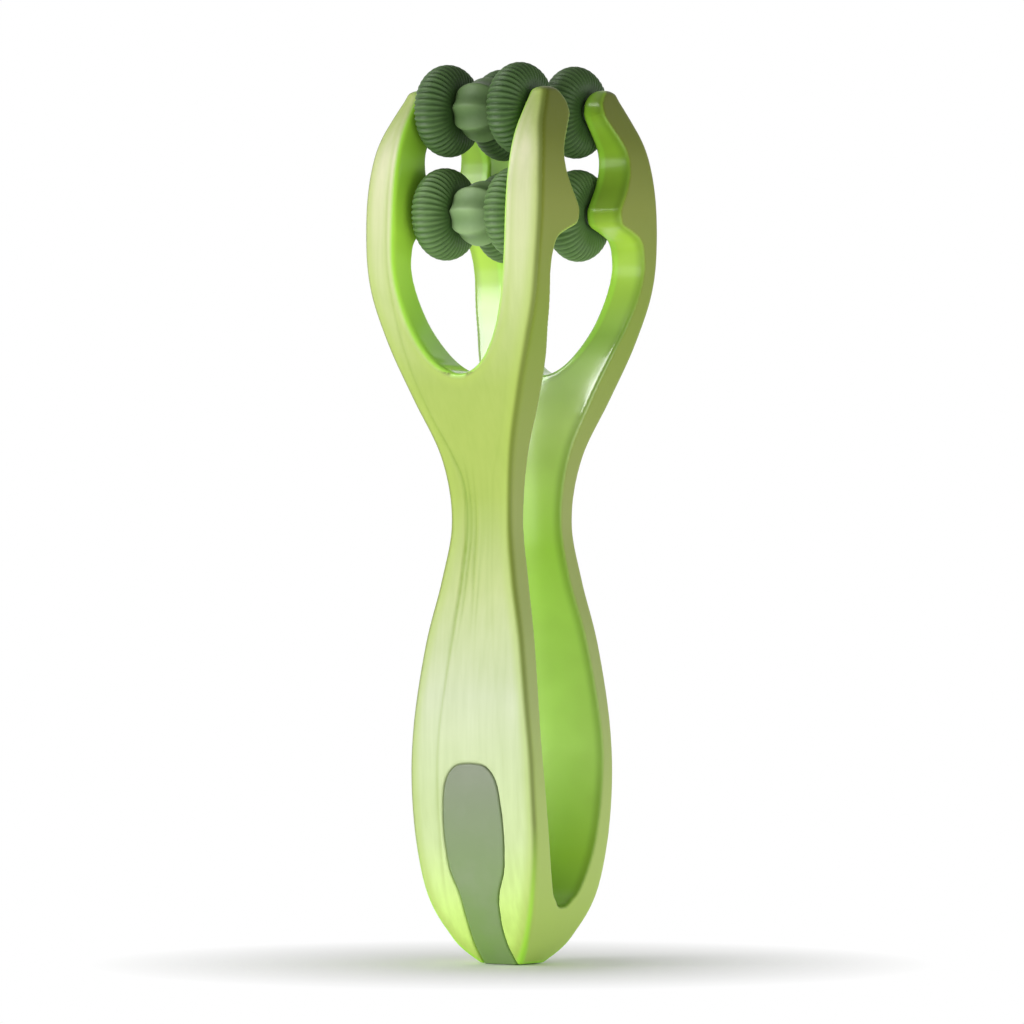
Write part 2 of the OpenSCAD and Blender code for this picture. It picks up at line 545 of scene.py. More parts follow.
@dataclass(frozen=True)
class DrawnSteel:
    """The bright drawn steel of the axles, with fine lines round them."""

    bright: tuple = linear(206, 208, 210)
    grey: tuple = linear(150, 152, 156)
    scratches: float = 9000.0
    scratch_stretch: float = 0.04
    scratch_depth: float = 0.00001
    roughness: float = 0.22

    def build(self) -> bpy.types.Material:
        """Makes the material.

        Returns:
            The finished material.
        """
        g = Paint("drawn steel")
        round_axle = g.stretched((1.0, self.scratch_stretch, self.scratch_stretch))
        scratch = g.noise(self.scratches, 3.0, round_axle)
        colour = g.mix(scratch, self.grey, self.bright)
        g.bump(scratch, self.scratch_depth, 0.6)
        g.set(Base_Color=colour, Roughness=self.roughness + scratch * 0.18, Metallic=1.0)
        return g.material


# ---------------------------------------------------------------- shapes from curves


def between(start: tuple, end: tuple, parts: Points) -> list[tuple[float, float]]:
    """Points at the given fractions of the way from one corner to another.

    Args:
        start: The first corner, as (distance, height).
        end: The second corner.
        parts: Fractions of the way along each of the two directions.

    Returns:
        The points.
    """
    wide, tall = end[0] - start[0], end[1] - start[1]
    return [(start[0] + wide * u, start[1] + tall * v) for u, v in parts]


def curve(points: list[tuple[float, float]], steps: int = 8) -> np.ndarray:
    """A smooth curve through all the control points.

    Args:
        points: The control points.
        steps: Steps between two of them.

    Returns:
        The curve's points, one row each.
    """
    p = np.array(points, float)
    before = np.vstack([p[:1], p[:-2]])
    after = np.vstack([p[2:], p[-1:]])
    t = (np.arange(steps) / steps)[None, :, None]
    a, b, c, d = before[:, None], p[:-1][:, None], p[1:][:, None], after[:, None]
    square, cube = 2 * a - 5 * b + 4 * c - d, 3 * b - a - 3 * c + d
    q = 0.5 * (2 * b + (c - a) * t + square * t**2 + cube * t**3)
    return np.vstack([q.reshape(-1, 2), p[-1:]])


def smooth(low: float, high: float, value: np.ndarray) -> np.ndarray:
    """A smooth step from 0 at low to 1 at high."""
    t = np.clip((value - low) / (high - low), 0, 1)
    return t * t * (3 - 2 * t)


def rounded_meet(first: np.ndarray, second: np.ndarray, radius: float | np.ndarray) -> np.ndarray:
    """The distance to what two solids share, with a round edge where their faces meet.

    Args:
        first: Distance to the first solid, negative inside.
        second: Distance to the second solid.
        radius: Radius of the round edge.

    Returns:
        The distance to the shared solid.
    """
    u, v = np.maximum(first + radius, 0), np.maximum(second + radius, 0)
    return np.minimum(np.maximum(first, second) + radius, 0) + np.sqrt(u * u + v * v) - radius


class DistanceMap:
    """Signed distance to a closed outline, worked out once on a flat grid and then looked up."""

    def __init__(self, outline: np.ndarray, low: tuple, high: tuple, step: float = 0.25) -> None:
        """Measures the distance at every point of the grid.

        Args:
            outline: The outline's points, in order.
            low: Lowest corner of the grid.
            high: Highest corner of the grid.
            step: The grid's pitch.
        """
        self.low, self.step = np.array(low, float), step
        across = np.arange(low[0], high[0] + step, step)
        up = np.arange(low[1], high[1] + step, step)
        u, v = (axis.ravel() for axis in np.meshgrid(across, up, indexing="ij"))
        best, inside = np.full(u.shape, 1e9), np.zeros(u.shape, bool)
        for (au, av), (bu, bv) in zip(outline, np.roll(outline, -1, axis=0)):
            eu, ev = bu - au, bv - av
            size = eu * eu + ev * ev
            if size < 1e-12:
                continue
            share = np.clip(((u - au) * eu + (v - av) * ev) / size, 0, 1)
            best = np.minimum(best, (u - au - share * eu) ** 2 + (v - av - share * ev) ** 2)
            if bv != av:
                crosses = (av > v) != (bv > v)
                inside ^= crosses & (u < au + (v - av) * eu / ev)
        distance = np.sqrt(best) * np.where(inside, -1, 1)
        self.values = distance.reshape(len(across), len(up))

    def at(self, u: np.ndarray, v: np.ndarray) -> np.ndarray:
        """The distance at these places.

        Args:
            u: Distances across.
            v: Heights.

        Returns:
            The signed distances, negative inside.
        """
        size_u, size_v = self.values.shape
        fu = np.clip((u - self.low[0]) / self.step, 0, size_u - 1.001)
        fv = np.clip((v - self.low[1]) / self.step, 0, size_v - 1.001)
        fu, fv = np.broadcast_arrays(fu, fv)
        iu, iv = fu.astype(int), fv.astype(int)
        su, sv = fu - iu, fv - iv
        f = self.values
        low_row = f[iu, iv] * (1 - su) + f[iu + 1, iv] * su
        high_row = f[iu, iv + 1] * (1 - su) + f[iu + 1, iv + 1] * su
        return low_row * (1 - sv) + high_row * sv


def skin_of(values: np.ndarray, low: np.ndarray, step: float) -> tuple[np.ndarray, np.ndarray]:
    """Meshes the surface where a field on a grid is zero, with one point in each cell it crosses.

    Args:
        values: The field, negative inside.
        low: The place of the grid's first corner.
        step: The grid's pitch.

    Returns:
        The points and the four-sided faces.
    """
    shape = np.array(values.shape)
    inside = values < 0
    cells, spots, quads = [], [], []
    for axis in range(3):
        first = [slice(None)] * 3
        second = [slice(None)] * 3
        first[axis], second[axis] = slice(None, -1), slice(1, None)
        crossed = inside[tuple(first)] != inside[tuple(second)]
        at = np.argwhere(crossed)
        f0 = values[tuple(first)][crossed]
        f1 = values[tuple(second)][crossed]
        spot = at.astype(float)
        spot[:, axis] += f0 / (f0 - f1)
        one, two = (axis + 1) % 3, (axis + 2) % 3
        ring = []
        for go_one, go_two in ((0, 0), (1, 0), (1, 1), (0, 1)):
            cell = at.copy()
            cell[:, one] -= go_one
            cell[:, two] -= go_two
            ring.append(np.ravel_multi_index(cell.T, shape))
            cells.append(ring[-1])
            spots.append(spot)
        quad = np.stack(ring, axis=1)
        leaves = f0 > 0
        quad[leaves] = quad[leaves][:, ::-1]
        quads.append(quad)
    names, index = np.unique(np.concatenate(cells), return_inverse=True)
    spot = np.concatenate(spots)
    count = np.bincount(index)
    points = np.stack([np.bincount(index, spot[:, k]) / count for k in range(3)], axis=1)
    faces = np.searchsorted(names, np.concatenate(quads))
    return points * step + low, faces[:, ::-1]


def mesh_piece(
    name: str, points: np.ndarray, faces: np.ndarray, paint: dict | None = None
) -> bpy.types.Object:
    """A smooth mesh object from points in millimetres.

    Args:
        name: The piece's name.
        points: The points, in millimetres.
        faces: Rows of four point numbers.
        paint: Name to one value for each point.

    Returns:
        The object, in metres.
    """
    mesh = bpy.data.meshes.new(name)
    mesh.vertices.add(len(points))
    mesh.vertices.foreach_set("co", (points * MM).astype(np.float32).ravel())
    mesh.loops.add(faces.size)
    mesh.loops.foreach_set("vertex_index", faces.astype(np.int32).ravel())
    mesh.polygons.add(len(faces))
    mesh.polygons.foreach_set("loop_start", np.arange(0, faces.size, 4, dtype=np.int32))
    mesh.update(calc_edges=True)
    mesh.validate()
    mesh.shade_smooth()
    for key, values in (paint or {}).items():
        layer = mesh.attributes.new(key, "FLOAT", "POINT")
        layer.data.foreach_set("value", np.asarray(values, np.float32))
    piece = bpy.data.objects.new(name, mesh)
    bpy.context.scene.collection.objects.link(piece)
    return piece


def wrapped_faces(rows: int, columns: int) -> np.ndarray:
    """Faces of a grid of points whose rows and columns close on themselves.

    Args:
        rows: How many rows of points.
        columns: How many points in a row.

    Returns:
        Rows of four point numbers.
    """
    grid = np.meshgrid(np.arange(rows), np.arange(columns), indexing="ij")
    r, c = (axis.ravel() for axis in grid)
    down, along = (r + 1) % rows, (c + 1) % columns
    here, below = r * columns, down * columns
    return np.stack([here + c, here + along, below + along, below + c], axis=1)


# ---------------------------------------------------------------- the tong


@dataclass
class RibLines:
    """Fine grooves along the outer face that spread from the waist like the ribs of celery.

    Each line is a list of (distance from the middle, height) points, drawn on both sides. All of
    them are deepest at the waist, and away_share is how much of its depth a line keeps far from it.
    """

    lines: tuple[Points, ...] = (
        ((7.6, 8.0), (7.8, 22.0), (7.4, 40.0), (6.0, 52.0), (4.5, 64.0), (3.4, 74.0), (2.9, 84.0),
         (3.4, 91.5), (5.4, 97.0), (8.4, 104.0), (11.2, 113.0), (13.4, 126.0), (14.4, 140.0),
         (14.0, 162.0)),
        ((4.2, 56.0), (3.1, 65.0), (2.0, 82.0), (2.4, 93.0), (3.6, 101.0)),
        ((0.3, 58.0), (0.5, 66.0), (0.95, 82.0), (0.8, 98.0)),
    )
    depths: tuple[float, ...] = (0.34, 0.28, 0.24)
    away_share: tuple[float, ...] = (0.35, 0.0, 0.0)
    spread: float = 0.34
    fade_length: float = 14.0
    waist_height: float = 82.0
    waist_reach: float = 19.0
    right_start: float = 0.6
    right_share: float = 0.22

    def depth_at(self, across: np.ndarray, height: np.ndarray) -> np.ndarray:
        """How deep the grooves cut at these places.

        Args:
            across: Distances from the middle.
            height: Heights.

        Returns:
            The depths in millimetres.
        """
        total = np.zeros(np.broadcast(across, height).shape)
        waist = np.exp(-(((height - self.waist_height) / self.waist_reach) ** 2))
        for line, depth, kept in zip(self.lines, self.depths, self.away_share):
            path = curve(list(line))
            middle = np.interp(height, path[:, 1], path[:, 0])
            start, end = path[0, 1], path[-1, 1]
            fade = smooth(start, start + self.fade_length, height)
            fade = fade * (1 - smooth(end - self.fade_length, end, height))
            strong = kept + (1 - kept) * waist
            strong = strong * np.where(across > self.right_start, self.right_share, 1.0)
            off = (np.abs(across) - middle) / self.spread
            total = total + depth * fade * strong * np.exp(-off * off)
        return total


@dataclass
class Tong:
    """The one-piece sprung tong: a U bend with a wide handle, a waist and two forked heads.

    Pairs of sizes are (width, depth), and pairs of heights are those of the handle and the head.
    """

    foot: tuple[float, float] = (9.0, 7.5)
    handle: tuple[float, float] = (28.8, 28.4)
    waist: tuple[float, float] = (14.2, 21.4)
    head: tuple[float, float] = (40.8, 41.6)
    widest_at: tuple[float, float] = (33.0, 142.0)
    deepest_at: tuple[float, float] = (42.0, 138.0)
    emptiest_at: tuple[float, float] = (44.0, 130.0)
    waist_at: float = 84.0
    tip_width: float = 33.2
    tip_height: float = 166.2
    slot_height: float = 11.2
    handle_gap: float = 19.8
    waist_gap: float = 12.0
    throat_gap: float = 30.4
    fork_width: float = 25.0
    fork_height: float = 137.0
    fork_round: float = 25.0
    crown_radius: float = 97.0
    crown_level: float = 16.0
    crown_rise: tuple[float, float] = (86.0, 116.0)
    handle_crown_radius: float = 260.0
    handle_crown_rise: tuple[float, float] = (10.0, 30.0)
    round_edge: float = 1.3
    foot_edge: float = 0.35
    inner_edge: float = 0.6
    upper_boss: float = 3.55
    lower_boss: float = 3.35
    pitch: float = 0.34
    cut_height: float = 36.0
    bend: tuple[float, float] = (37.0, 82.0)
    pocket_depth: float = 0.85
    pocket_play: float = 0.12
    pocket_edge: float = 0.4
    ribs: RibLines = field(default_factory=RibLines)

    def __post_init__(self) -> None:
        """Measures the distance maps of the front view and the two faces seen from the side."""
        reach = 30.0
        top = self.tip_height + 6
        self.front_map = DistanceMap(self.front_outline(), (-reach, -6), (reach, top))
        outer = self.outer_line()
        ceiling = [(-60.0, outer[-1, 1]), (-60.0, 0.0)]
        self.outer_map = DistanceMap(np.vstack([outer, ceiling]), (-2, -6), (reach, top))
        inner = self.inner_line()
        beyond = [(90.0, 200.0), (90.0, -80.0), (-90.0, -80.0), (-90.0, self.slot_height - 0.2)]
        self.inner_map = DistanceMap(np.vstack([inner, beyond]), (-2, -6), (reach, top))
        self.strip_map = DistanceMap(GripStrip().outline(), (-reach, -6), (reach, 60))

    def front_outline(self) -> np.ndarray:
        """The tong's outline seen from the front, with the open fork.

        Returns:
            The closed outline, in (across, height).
        """
        foot, handle = (self.foot[0] / 2, 0.0), (self.handle[0] / 2, self.widest_at[0])
        waist, head = (self.waist[0] / 2, self.waist_at), (self.head[0] / 2, self.widest_at[1])
        shoulder = (self.tip_width / 2, 163.6)
        half_fork = self.fork_width / 2
        edge = curve(
            [foot]
            + between(foot, handle, ((0.41, 0.136), (0.77, 0.364), (0.96, 0.667), (1, 1)))
            + between(handle, waist, ((0.08, 0.216), (0.41, 0.55), (0.78, 0.784), (1, 1)))
            + between(waist, head, ((0.1, 0.207), (0.4, 0.397), (0.71, 0.586), (0.93, 0.767), (1, 1)))
            + between(head, shoulder, ((0.22, 0.51), (0.72, 0.833), (1, 1)))
            + [(15.9, 165.6), (14.4, self.tip_height), (12.9, 165.5), (half_fork, 164.0)]
        )
        turn = np.radians(np.arange(0, 91, 3))
        bottom = self.fork_height - self.fork_round * np.sin(turn)
        fork = np.stack([half_fork * np.cos(turn), bottom], axis=1)
        half = np.vstack([edge, fork])
        return np.vstack([half, half[::-1] * (-1, 1)])

    def outer_line(self) -> np.ndarray:
        """The outer face seen from the side, from the foot to the tip.

        Returns:
            The line, in (depth, height).
        """
        foot, handle = (self.foot[1] / 2, 0.0), (self.handle[1] / 2, self.deepest_at[0])
        waist, head = (self.waist[1] / 2, self.waist_at), (self.head[1] / 2, self.deepest_at[1])
        shoulder = (12.8, 164.0)
        return curve(
            [foot]
            + between(foot, handle, ((0.36, 0.107), (0.665, 0.286), (0.837, 0.524), (0.96, 0.762)))
            + [handle]
            + between(handle, waist, ((0.03, 0.19), (0.29, 0.452), (0.71, 0.738), (1, 1)))
            + between(waist, head, ((0.125, 0.222), (0.448, 0.426), (0.77, 0.63), (0.98, 0.833)))
            + [head]
            + between(head, shoulder, ((0.12, 0.42), (0.42, 0.73), (1, 1)))
            + [(11.9, 165.4), (10.3, self.tip_height)]
        )

    def inner_line(self) -> np.ndarray:
        """The inner face seen from the side, with the round bosses that hold the axles.

        Returns:
            The line, in (depth, height).
        """
        slot, handle = (0.0, self.slot_height), (self.handle_gap / 2, self.emptiest_at[0])
        waist, throat = (self.waist_gap / 2, self.waist_at), (self.throat_gap / 2, self.emptiest_at[1])
        bowl = ((0.13, 0.006), (0.26, 0.04), (0.455, 0.11), (0.717, 0.33), (0.92, 0.66), (1, 1))
        return curve(
            [slot]
            + between(slot, handle, bowl)
            + between(handle, waist, ((0.385, 0.425), (0.846, 0.725), (1, 1)))
            + between(waist, throat, ((0.054, 0.26), (0.26, 0.5), (0.5, 0.674), (0.783, 0.826), (1, 1)))
            + [(14.9, 134.6), (13.6, 137.2), (10.5, 138.7)]
            + self.boss_side("front_lower_axle", self.lower_boss, (-45, -15, 15, 40))
            + [(9.5, 147.9), (10.5, 151.4), (9.8, 154.8)]
            + self.boss_side("front_upper_axle", self.upper_boss, (-30, 0, 35))
            + [(9.0, 166.3), (12.0, 168.0)]
        )

    @staticmethod
    def boss_side(axle: str, radius: float, angles: tuple[int, ...]) -> list[tuple[float, float]]:
        """Points on the side of an axle's round boss that faces the middle plane.

        Args:
            axle: The axle's node.
            radius: The boss's radius.
            angles: Where the points are, in degrees up from the level.

        Returns:
            The points, in (depth, height).
        """
        low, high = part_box(axle)
        y, z = (abs(low[k] + high[k]) / 2 / MM for k in (1, 2))
        turns = [math.radians(angle) for angle in angles]
        return [(y - radius * math.cos(turn), z + radius * math.sin(turn)) for turn in turns]

    def crown(self, across: np.ndarray, height: np.ndarray) -> np.ndarray:
        """How far the outer face falls back from its side view.

        Args:
            across: Distances from the middle.
            height: Heights.

        Returns:
            The distances, in millimetres.
        """
        bowed = (across**2 - self.crown_level**2) / (2 * self.crown_radius)
        at_head = smooth(*self.crown_rise, height)
        at_handle = across**2 / (2 * self.handle_crown_radius) * smooth(*self.handle_crown_rise, height)
        return bowed * at_head + at_handle * (1 - at_head)

    def fork_share(self, x: np.ndarray, z: np.ndarray) -> np.ndarray:
        """How much a place belongs to the fork's opening and not to the tong's outer sides.

        Args:
            x: Places along X.
            z: Heights.

        Returns:
            1 next to the fork's walls and 0 far from them.
        """
        drop = np.clip((self.fork_height - z) / self.fork_round, 0, 1)
        half = self.fork_width / 2 * np.sqrt(1 - drop**2)
        low = self.fork_height - self.fork_round
        return (1 - smooth(1.4, 2.2, np.abs(x) - half)) * smooth(low - 1.6, low - 0.8, z)

    def distances(self, x: np.ndarray, y: np.ndarray, z: np.ndarray) -> tuple[np.ndarray, ...]:
        """Distances to the tong's three surfaces.

        Args:
            x: Places along X.
            y: Places along Y.
            z: Heights.

        Returns:
            Distances to the side surface, the outer face and the inner face, negative inside.
        """
        aside = self.front_map.at(x, z)
        depth = np.abs(y)
        outer = self.outer_map.at(depth + self.crown(x, z) + self.ribs.depth_at(x, z), z)
        inner = self.inner_map.at(depth, z)
        return aside, outer, inner

    def solid(self, x: np.ndarray, y: np.ndarray, z: np.ndarray) -> np.ndarray:
        """Distance to the whole tong, with its round edges, flat foot and strip pocket.

        Args:
            x: Places along X.
            y: Places along Y.
            z: Heights.

        Returns:
            The signed distances, negative inside.
        """
        aside, outer, inner = self.distances(x, y, z)
        edge = self.round_edge * smooth(1.0, 9.0, z) + self.foot_edge
        body = rounded_meet(aside, outer, np.minimum(edge, self.round_edge))
        body = rounded_meet(body, inner, self.inner_edge)
        pocket = np.maximum(self.strip_map.at(x, z) - self.pocket_play, -outer - self.pocket_depth)
        body = rounded_meet(body, -pocket, self.pocket_edge)
        return np.maximum(body, -z)

    def sculpt(self) -> tuple[np.ndarray, np.ndarray]:
        """Meshes the whole tong.

        Returns:
            The points in millimetres and the faces.
        """
        pad = 2 * self.pitch
        half_x, half_y = self.head[0] / 2 + pad, self.head[1] / 2 + 1.5 + pad
        low = np.array([-half_x, -half_y, -pad])
        x = np.arange(low[0], half_x + self.pitch, self.pitch)[:, None, None]
        y = np.arange(low[1], half_y + self.pitch, self.pitch)[None, :, None]
        z = np.arange(low[2], self.tip_height + pad + self.pitch, self.pitch)[None, None, :]
        values = np.concatenate([self.solid(column[None], y, z) for column in x])
        return skin_of(values, low, self.pitch)

    def zones(self, points: np.ndarray) -> dict[str, np.ndarray]:
        """How much each point belongs to each colour zone, painted shade and painted glow among them.

        Args:
            points: The tong's points, in millimetres.

        Returns:
            The zone's name to a value of 0 to 1 for each point.
        """
        x, y, z = points.T
        aside, outer, inner = self.distances(x, y, z)
        fork = self.fork_share(x, z)
        clear = smooth(0.8, 1.4, -inner)
        rim = smooth(-1.2, -0.3, aside) * smooth(-1.0, -0.2, outer) * clear
        wall = fork * smooth(-0.7, -0.1, aside - outer - 0.2)
        facing_in = smooth(-0.7, -0.1, inner - np.maximum(aside, outer) - 0.2)
        # The rims, inner rims and shoulders take painted shade; the fork's rims and walls a painted
        # glow
        return {
            "outer_face": smooth(-0.9, -0.2, outer - np.maximum(aside, inner) - 0.4),
            "inner_face": np.maximum(facing_in, wall),
            "groove": self.ribs.depth_at(x, z) / max(self.ribs.depths),
            "rim": rim * (1 - fork),
            "fork_rim_glow": rim * fork,
            "fork_wall": wall,
            "inner_rim_shade": smooth(-2.4, -0.3, aside) * smooth(-0.6, -0.1, inner) * (1 - fork),
            "shoulder": smooth(-3.4, -0.9, aside) * clear * (1 - fork),
        }

    @staticmethod
    def normals_of(points: np.ndarray, faces: np.ndarray) -> np.ndarray:
        """The whole tong's smooth normals, which hide the cuts between its pieces.

        Args:
            points: The tong's points, in millimetres.
            faces: Rows of four point numbers.

        Returns:
            One normal for each point.
        """
        whole = mesh_piece("whole_tong", points, faces)
        normals = np.empty(len(points) * 3, np.float32)
        whole.data.vertices.foreach_get("normal", normals)
        bpy.data.objects.remove(whole)
        return normals.reshape(-1, 3)

    def build(self) -> list[bpy.types.Object]:
        """Makes the base and the two arms from one mesh, so that no seam shows between them.

        Returns:
            The three pieces.
        """
        points, faces = self.sculpt()
        paint = self.zones(points)
        normals = self.normals_of(points, faces)
        height = points[faces][:, :, 2].max(axis=1)
        depth = points[faces][:, :, 1].mean(axis=1)
        kinds = {
            "tong_base": height <= self.cut_height,
            "front_arm": (height > self.cut_height) & (depth < 0),
            "rear_arm": (height > self.cut_height) & (depth >= 0),
        }
        pieces = []
        for node, chosen in kinds.items():
            kept, renamed = np.unique(faces[chosen], return_inverse=True)
            renamed = renamed.reshape(-1, 4)
            chosen_paint = {key: values[kept] for key, values in paint.items()}
            piece = mesh_piece(f"celery_{node}", points[kept], renamed, chosen_paint)
            piece.data.normals_split_custom_set_from_vertices(normals[kept].tolist())
            self.fasten(piece, node)
            pieces.append(piece)
        return pieces

    def fasten(self, piece: bpy.types.Object, node: str) -> None:
        """Hides its CAD node and puts the base on its body; an arm's transform is baked into its mesh.

        Args:
            piece: The base or an arm.
            node: The CAD node that it stands for.
        """
        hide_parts(node)
        if node == "tong_base":
            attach(piece, "base")
            return
        sign = Arm.FRONT.sign if node == "front_arm" else Arm.REAR.sign
        start, end = (Vector((0, sign * self.handle[1] / 2, height)) * MM for height in self.bend)
        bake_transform(piece)

    def dress(self, pieces: list[bpy.types.Object]) -> None:
        """Gives the pieces their plastic.

        Args:
            pieces: The base and the two arms.
        """
        material = StalkPlastic().build()
        for piece in pieces:
            piece.data.materials.append(material)


@dataclass
class GripStrip:
    """The soft strip let into the handle's outside and round the foot."""

    top: float = 38.4
    width: float = 13.6
    foot_width: float = 7.6
    depth: float = 0.8
    gap: float = 0.06
    sunk: float = 0.06
    round_edge: float = 0.3
    pitch: float = 0.22

    def outline(self) -> np.ndarray:
        """The strip seen from the front.

        Returns:
            The closed outline, in (across, height).
        """
        half, neck = self.width / 2, self.foot_width / 2
        shoulder = (half, 0.68 * self.top)
        side = curve(
            [(neck + 0.4, 0.32 * self.top), (neck + 1.0, 0.38 * self.top)]
            + between((0, 0), shoulder, ((0.9, 0.69), (0.98, 0.85), (1, 1.04)))
            + between(shoulder, (0, self.top), ((0.08, 0.56), (0.24, 0.82), (0.55, 0.97), (1, 1)))
        )
        line = np.vstack([[(neck, -5.0), (neck, 0.2 * self.top)], side])
        return np.vstack([line, line[::-1] * (-1, 1)])

    def build(self, tong: Tong) -> bpy.types.Object:
        """Sculpts the strip as a skin of the tong inside the outline.

        Args:
            tong: The tong that it is let into.

        Returns:
            The piece.
        """
        pad = 3 * self.pitch
        low = np.array([-self.width / 2 - pad, -tong.handle[1] / 2 - 1 - pad, -pad])
        x = np.arange(low[0], -low[0] + self.pitch, self.pitch)[:, None, None]
        y = np.arange(low[1], -low[1] + self.pitch, self.pitch)[None, :, None]
        z = np.arange(low[2], self.top + pad, self.pitch)[None, None, :]
        _, outer, _ = tong.distances(x, y, z)
        inside = tong.strip_map.at(x, z) + self.gap
        body = rounded_meet(inside, outer + self.sunk, self.round_edge)
        body = np.maximum(body, -outer - self.depth)
        body = np.maximum(body, -z)
        points, faces = skin_of(body, low, self.pitch)
        piece = mesh_piece("soft_grip_strip", points, faces)
        piece.data.materials.append(SoftStrip().build())
        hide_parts("grip_strip")
        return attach(piece, "base")


# ---------------------------------------------------------------- the rollers


@dataclass
class RollerKit:
    """The rollers of one axle, and what they turn on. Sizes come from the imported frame."""

    ribs: int = 44
    rib_depth: float = 0.34
    rib_steps: int = 10
    section_steps: int = 48
    hole_fullness: float = 0.36
    lobes: int = 8
    lobe_depth: float = 0.85
    lobe_turn: float = 6.0
    lobe_steps: int = 24
    lathe_steps: int = 64
    hub_play: float = 0.05
    hub_chamfer: float = 0.3
    bore_chamfer: float = 0.15
    hub_groove: tuple[float, float, float] = (0.4, 0.2, 0.15)
    axle_chamfer: float = 0.25
    seed: int = 7

    def __post_init__(self) -> None:
        """Starts the random numbers and makes the shared finishes."""
        self.random = np.random.default_rng(self.seed)
        # Lit and shaded copies: the upper rollers are painted darker, the lower ones lighter
        ring_colours_shaded_by_level = {
            Level.UPPER: (linear(40, 68, 28), linear(88, 118, 66)),
            Level.LOWER: (linear(56, 86, 40), linear(116, 148, 90)),
        }
        ball_colours_shaded_by_level = {
            Level.UPPER: (linear(66, 92, 48), linear(110, 138, 86)),
            Level.LOWER: (linear(96, 126, 74), linear(156, 184, 130)),
        }
        # One painted-light copy of each silicone for each level
        self.ring_finish_shaded_by_level = {
            level: Silicone(f"{level.value} ring silicone", *colours).build()
            for level, colours in ring_colours_shaded_by_level.items()
        }
        self.ball_finish_shaded_by_level = {
            level: Silicone(f"{level.value} ball silicone", *colours, 0.5).build()
            for level, colours in ball_colours_shaded_by_level.items()
        }
        self.hub_finish = HubPlastic().build()
        self.axle_finish = DrawnSteel().build()

    @staticmethod
    def size_of(node: str) -> tuple[np.ndarray, np.ndarray]:
        """A node's middle and its size, in millimetres."""
        low, high = (np.array(corner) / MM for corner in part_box(node))
        return (low + high) / 2, high - low

    @staticmethod
    def turned(
        axial: np.ndarray, radial: np.ndarray, angle: np.ndarray, middle: np.ndarray
    ) -> np.ndarray:
        """Points round the axle.

        Args:
            axial: Their places along the axle.
            radial: Their distances from it.
            angle: Their angles about it.
            middle: The middle of the piece.

        Returns:
            The points, one row each.
        """
        axial, radial, angle = np.broadcast_arrays(axial, radial, angle)
        depth, height = radial * np.cos(angle), radial * np.sin(angle)
        spots = [middle[0] + axial, middle[1] + depth, middle[2] + height]
        return np.stack([spot.ravel() for spot in spots], axis=1)

    def ring(self, node: str, hub: str, body: str, level: Level) -> bpy.types.Object:
        """A soft ring: a torus whose round ribs run over it and die out towards its hub.

        Args:
            node: The CAD node that it stands for.
            hub: The hub node that it sits on.
            body: The body that it rides on.
            level: Which axle it turns on.

        Returns:
            The piece.
        """
        middle, size = self.size_of(node)
        hub_radius = self.size_of(hub)[1][2] / 2
        tube = size[0] / 2
        centre = size[2] / 2 - tube
        turn = self.random.uniform(0, 2 * math.pi / self.ribs)
        steps = self.ribs * self.rib_steps
        around = np.linspace(0, 2 * math.pi, steps, endpoint=False)[None, :]
        section = np.linspace(-math.pi, math.pi, self.section_steps, endpoint=False)[:, None]
        lean = np.where(np.cos(section) < 0, self.hole_fullness, 1.0)
        radial = centre + tube * np.sign(np.cos(section)) * np.abs(np.cos(section)) ** lean
        axial = tube * np.sign(np.sin(section)) * np.abs(np.sin(section)) ** lean
        wave = (0.5 + 0.5 * np.cos((around - turn) * self.ribs)) ** 0.8
        reach = smooth(centre - 0.3 * tube, centre + 0.8 * tube, radial)
        cut = self.rib_depth * (1 - wave) * reach
        radial = np.maximum(radial - cut * np.cos(section), hub_radius)
        axial = axial - cut * np.sin(section)
        points = self.turned(axial, radial, around, middle)
        faces = wrapped_faces(self.section_steps, steps)
        # Each point's rib height, for painted highlight on the ribs and painted shade between them
        piece = mesh_piece(f"soft_{node}", points, faces, {"ridge_shading": (wave * reach).ravel()})
        return self.finished(piece, node, body, "ring", self.ring_finish_shaded_by_level[level])

    def ball(self, node: str, hub: str, body: str, sign: int, level: Level) -> bpy.types.Object:
        """A soft ball with lobes round its belly and flat ends.

        Args:
            node: The CAD node that it stands for.
            hub: The hub node that it sits on.
            body: The body that it rides on.
            sign: The sign of Y on its arm.
            level: Which axle it turns on.

        Returns:
            The piece.
        """
        middle, size = self.size_of(node)
        hub_radius = self.size_of(hub)[1][2] / 2
        radius, half = size[2] / 2, size[0] / 2
        steps = self.lobes * self.lobe_steps
        around = np.linspace(0, 2 * math.pi, steps, endpoint=False)[None, :]
        lean = math.asin(half / radius)
        tilt = np.linspace(-lean, lean, self.section_steps)[:, None]
        start = math.radians(180 - self.lobe_turn) if sign < 0 else math.radians(self.lobe_turn)
        valley = np.sin((around - start) * self.lobes / 2)
        wave = 1.07 - np.sqrt(valley * valley + 0.02)
        belly = np.cos(tilt * math.pi / (2 * lean)) ** 0.8
        cut = self.lobe_depth * (1 - wave) * (1.15 - 0.15 * belly)
        radial = (radius - cut) * np.cos(tilt) ** 1.05
        axial = radius * np.sin(tilt) + 0 * around
        points = self.turned(axial, radial, around, middle)
        ends = [self.turned(np.array([[place]]), np.array([[rim]]), around, middle)
                for place, rim in ((-half, hub_radius), (half, hub_radius))]
        points = np.vstack([ends[0], points, ends[1]])
        # Each point's lobe height, for painted highlight on the lobes and painted shade between them
        ridge_shading = np.vstack([0 * around, wave * belly, 0 * around])
        faces = wrapped_faces(self.section_steps + len(ends), steps)
        piece = mesh_piece(f"soft_{node}", points, faces, {"ridge_shading": ridge_shading.ravel()})
        return self.finished(piece, node, body, "ball", self.ball_finish_shaded_by_level[level])

